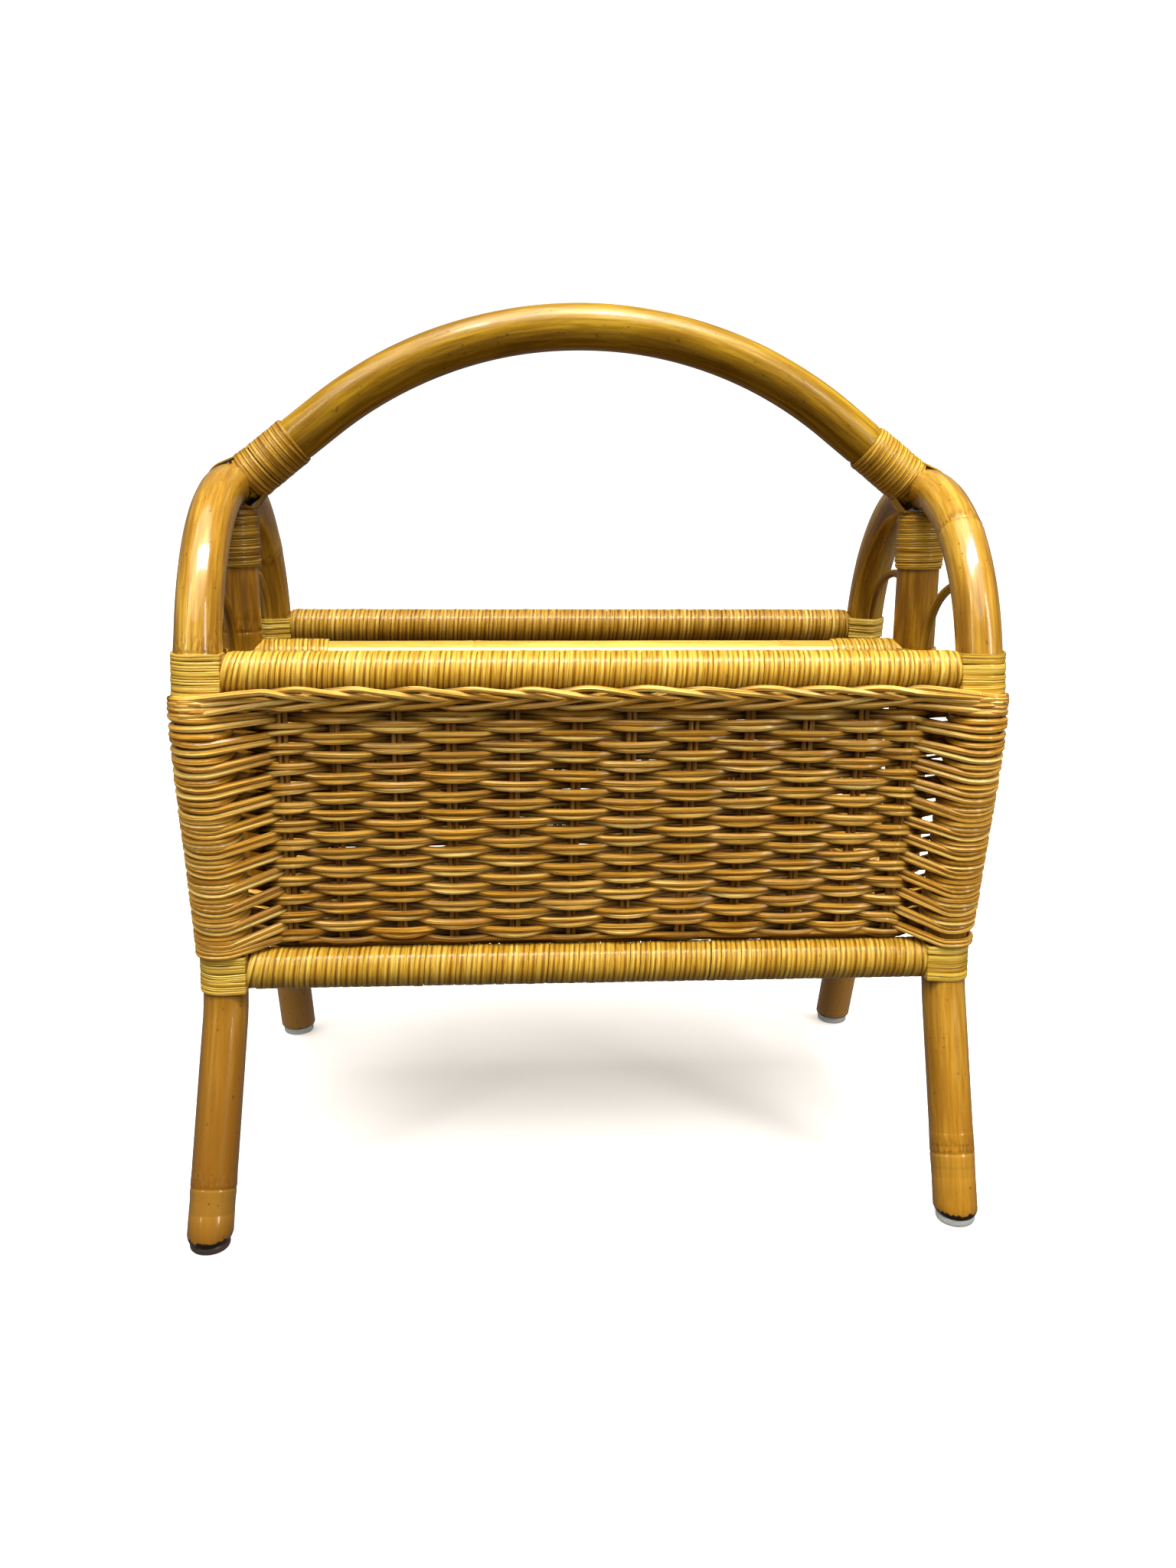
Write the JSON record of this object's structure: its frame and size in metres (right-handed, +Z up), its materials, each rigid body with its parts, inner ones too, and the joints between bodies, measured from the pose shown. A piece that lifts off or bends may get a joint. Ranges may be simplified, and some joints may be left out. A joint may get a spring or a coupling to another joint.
{
  "type": "magazine basket",
  "caption": "Rattan magazine basket: bent pole side arches with splayed legs, woven front, back and base, a middle rail and a bowed carrying handle lashed with cane.",
  "frame": {"origin": "on the floor under the middle of the basket", "axes": "+X to the right along the rails, +Y to the back, +Z up"},
  "size_m": [0.4296, 0.2972, 0.4931],
  "materials": {
    "rattan_pole": "clear gloss varnish over honey-coloured rattan pole",
    "handle_pole": "clear gloss varnish over streaked brown rattan pole",
    "flat_cane": "varnished pale flat cane",
    "wicker": "varnished round reed",
    "wicker_stake": "dull brown round reed",
    "glide_plastic": "milky plastic"
  },
  "bodies": {
    "root": {"side_arch_left": "rattan_pole", "side_arch_right": "rattan_pole", "center_post_left": "rattan_pole", "center_post_right": "rattan_pole", "bottom_cross_rail_left": "rattan_pole", "bottom_cross_rail_right": "rattan_pole", "front_top_rail": "rattan_pole", "front_bottom_rail": "rattan_pole", "rear_top_rail": "rattan_pole", "rear_bottom_rail": "rattan_pole", "middle_rail": "rattan_pole", "handle": "handle_pole", "front_top_winding": "flat_cane", "front_bottom_winding": "flat_cane", "rear_top_winding": "flat_cane", "rear_bottom_winding": "flat_cane", "handle_winding_left": "flat_cane", "post_winding_left": "flat_cane", "middle_winding_left": "flat_cane", "arch_strap_left": "flat_cane", "post_tie_left": "flat_cane", "handle_winding_right": "flat_cane", "post_winding_right": "flat_cane", "middle_winding_right": "flat_cane", "arch_strap_right": "flat_cane", "post_tie_right": "flat_cane", "tie_top_front_left": "flat_cane", "tie_bottom_front_left": "flat_cane", "side_loop_front_left": "wicker", "glide_front_left": "glide_plastic", "tie_top_front_right": "flat_cane", "tie_bottom_front_right": "flat_cane", "side_loop_front_right": "wicker", "glide_front_right": "glide_plastic", "tie_top_rear_left": "flat_cane", "tie_bottom_rear_left": "flat_cane", "side_loop_rear_left": "wicker", "glide_rear_left": "glide_plastic", "tie_top_rear_right": "flat_cane", "tie_bottom_rear_right": "flat_cane", "side_loop_rear_right": "wicker", "glide_rear_right": "glide_plastic", "front_weave": "wicker", "front_braid": "wicker", "rear_weave": "wicker", "rear_braid": "wicker", "base_weave": "wicker", "stake_01": "wicker_stake", "stake_02": "wicker_stake", "stake_03": "wicker_stake", "stake_04": "wicker_stake", "stake_05": "wicker_stake", "stake_06": "wicker_stake", "stake_07": "wicker_stake", "stake_08": "wicker_stake", "stake_09": "wicker_stake", "stake_10": "wicker_stake", "stake_11": "wicker_stake", "stake_12": "wicker_stake"}
  },
  "joints": []
}
